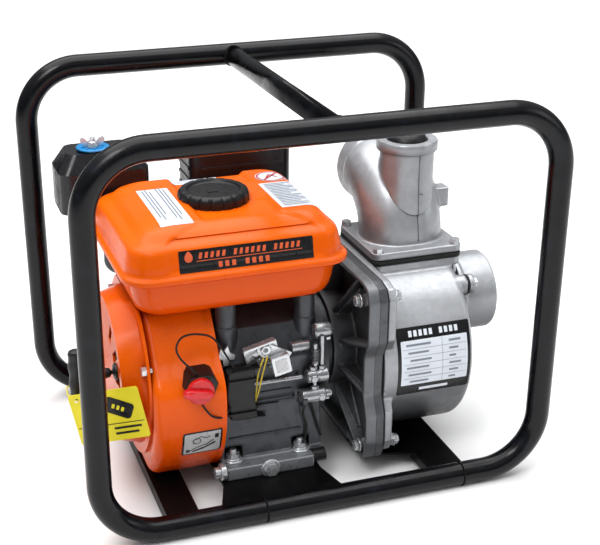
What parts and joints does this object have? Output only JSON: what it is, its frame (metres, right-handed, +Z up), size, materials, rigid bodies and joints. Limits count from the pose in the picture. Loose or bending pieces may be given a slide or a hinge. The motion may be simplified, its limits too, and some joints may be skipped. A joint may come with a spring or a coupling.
{
  "type": "engine-driven water pump",
  "caption": "Portable centrifugal water pump: small petrol engine and self-priming cast pump bolted face to face inside a black tube carrying frame.",
  "frame": {"origin": "on the floor, under the centre of the tube frame", "axes": "+X along the crankshaft from the starter towards the pump, +Y from the control side to the back, +Z up"},
  "size_m": [0.5112, 0.37, 0.426],
  "materials": {
    "black_tube": "gloss black enamel",
    "orange_paint": "gloss orange enamel",
    "dark_casting": "satin dark grey paint on castings",
    "cast_alloy": "as-cast and shot-blasted",
    "iron": "as cast",
    "steel": "machined",
    "zinc": "bright zinc plate",
    "black_plastic": "satin",
    "red_plastic": "gloss",
    "rubber": "matt",
    "filter_foam": "open foam",
    "tag": "yellow laminate",
    "ceramic": "glazed"
  },
  "bodies": {
    "base": {"frame_loop_front": "black_tube", "frame_loop_rear": "black_tube", "lifting_tube": "black_tube", "cross_plate_left": "black_tube", "cross_plate_right": "black_tube", "engine_base_plate": "black_tube", "crankcase": "dark_casting", "crankcase_cover": "dark_casting", "cylinder_head": "cast_alloy", "rocker_cover": "dark_casting", "gaskets": "rubber", "main_bearings": "steel", "oil_seals": "rubber", "ignition_coil": "black_plastic", "fan_shroud": "orange_paint", "recoil_housing": "orange_paint", "fuel_tank_lower": "orange_paint", "fuel_tank_upper": "orange_paint", "rubber_mounts": "rubber", "air_cleaner_case": "black_plastic", "air_cleaner_cover": "black_plastic", "air_filter": "filter_foam", "carburetor": "cast_alloy", "muffler": "dark_casting", "spark_plug": "ceramic", "control_bracket": "zinc", "oil_alert_unit": "black_plastic", "switch_body": "black_plastic", "leads_and_hose": "rubber", "pump_adapter": "cast_alloy", "pump_casing": "cast_alloy", "volute": "iron", "shaft_seal": "ceramic", "discharge_elbow": "cast_alloy", "suction_flange": "cast_alloy", "fasteners": "zinc"},
    "crank": {"crankshaft": "steel", "flywheel": "iron", "starter_cup": "steel", "impeller": "iron"},
    "cam": {"camshaft": "steel"},
    "piston_set": {"piston": "cast_alloy", "connecting_rod": "cast_alloy", "crank_pin": "steel", "wrist_pin": "steel"},
    "intake": {"intake_valve": "steel"},
    "exhaust": {"exhaust_valve": "steel"},
    "grip": {"starter_grip": "black_plastic", "hang_tag": "tag"},
    "reel": {"recoil_reel": "black_plastic"},
    "tank_cap": {"fuel_cap": "black_plastic"},
    "cleaner_nut": {"wing_nut": "zinc"},
    "choke": {"choke_lever": "zinc"},
    "fuel_valve": {"fuel_valve_lever": "zinc"},
    "throttle": {"throttle_lever": "zinc"},
    "governor": {"governor_arm": "zinc"},
    "switch": {"switch_knob": "red_plastic"},
    "dipstick": {"oil_dipstick": "black_plastic"},
    "flap": {"check_valve": "rubber"},
    "plug": {"filler_plug": "black_plastic"}
  },
  "joints": [
    {"name": "crank_spin", "type": "hinge", "parent": "base", "child": "crank", "pos_m": [0, -0.027, 0.131], "axis": [1, 0, 0], "continuous": true},
    {"name": "cam_spin", "type": "hinge", "parent": "base", "child": "cam", "pos_m": [0, -0.00671, 0.0875], "axis": [1, 0, 0], "continuous": true},
    {"name": "piston_slide", "type": "slide", "parent": "base", "child": "piston_set", "axis": [0, 0.9063, 0.4226], "range_m": [-0.046, 0]},
    {"name": "intake_lift", "type": "slide", "parent": "base", "child": "intake", "axis": [0, 0.9063, 0.4226], "range_m": [-0.006, 0], "stiffness_N_per_m": 1500, "springref_m": 0.02},
    {"name": "exhaust_lift", "type": "slide", "parent": "base", "child": "exhaust", "axis": [0, 0.9063, 0.4226], "range_m": [-0.006, 0], "stiffness_N_per_m": 1500, "springref_m": 0.02},
    {"name": "grip_pull", "type": "slide", "parent": "base", "child": "grip", "axis": [-1, 0, 0], "range_m": [0, 0.6], "stiffness_N_per_m": 25, "springref_m": -0.4},
    {"name": "reel_spin", "type": "hinge", "parent": "base", "child": "reel", "pos_m": [-0.189, -0.027, 0.131], "axis": [1, 0, 0], "range_deg": [0, 620]},
    {"name": "cap_turn", "type": "hinge", "parent": "base", "child": "tank_cap", "pos_m": [-0.076, -0.016, 0.307], "axis": [0, 0, 1], "range_deg": [0, 90]},
    {"name": "nut_turn", "type": "hinge", "parent": "base", "child": "cleaner_nut", "pos_m": [-0.179, 0.112, 0.335], "axis": [0, 0, 1], "range_deg": [0, 720]},
    {"name": "choke_turn", "type": "hinge", "parent": "base", "child": "choke", "pos_m": [-0.13, 0.08, 0.196], "axis": [0, 1, 0], "range_deg": [0, 60]},
    {"name": "fuel_valve_turn", "type": "hinge", "parent": "base", "child": "fuel_valve", "pos_m": [-0.112, 0.08, 0.182], "axis": [0, 1, 0], "range_deg": [-90, 0]},
    {"name": "throttle_turn", "type": "hinge", "parent": "base", "child": "throttle", "pos_m": [-0.052, -0.113, 0.168], "axis": [0, 1, 0], "range_deg": [-45, 0]},
    {"name": "governor_turn", "type": "hinge", "parent": "base", "child": "governor", "pos_m": [0.005, -0.115, 0.103], "axis": [1, 0, 0], "range_deg": [0, 12]},
    {"name": "switch_turn", "type": "hinge", "parent": "base", "child": "switch", "pos_m": [-0.13, -0.146, 0.148], "axis": [0, 1, 0], "range_deg": [0, 60]},
    {"name": "dipstick_turn", "type": "hinge", "parent": "base", "child": "dipstick", "pos_m": [0.008, -0.118, 0.033], "axis": [1, 0, 0], "range_deg": [0, 720]},
    {"name": "flap_swing", "type": "hinge", "parent": "base", "child": "flap", "pos_m": [0.1916, -0.029, 0.204], "axis": [0, 1, 0], "range_deg": [0, 35]},
    {"name": "plug_turn", "type": "hinge", "parent": "base", "child": "plug", "pos_m": [0.144, -0.02, 0.345], "axis": [0, 0, 1], "range_deg": [0, 720]}
  ],
  "couplings": [
    {"joint": "cam_spin", "follows": "crank_spin", "ratio": -0.5},
    {"joint": "reel_spin", "follows": "grip_pull", "rad_per_m": 17.762}
  ]
}
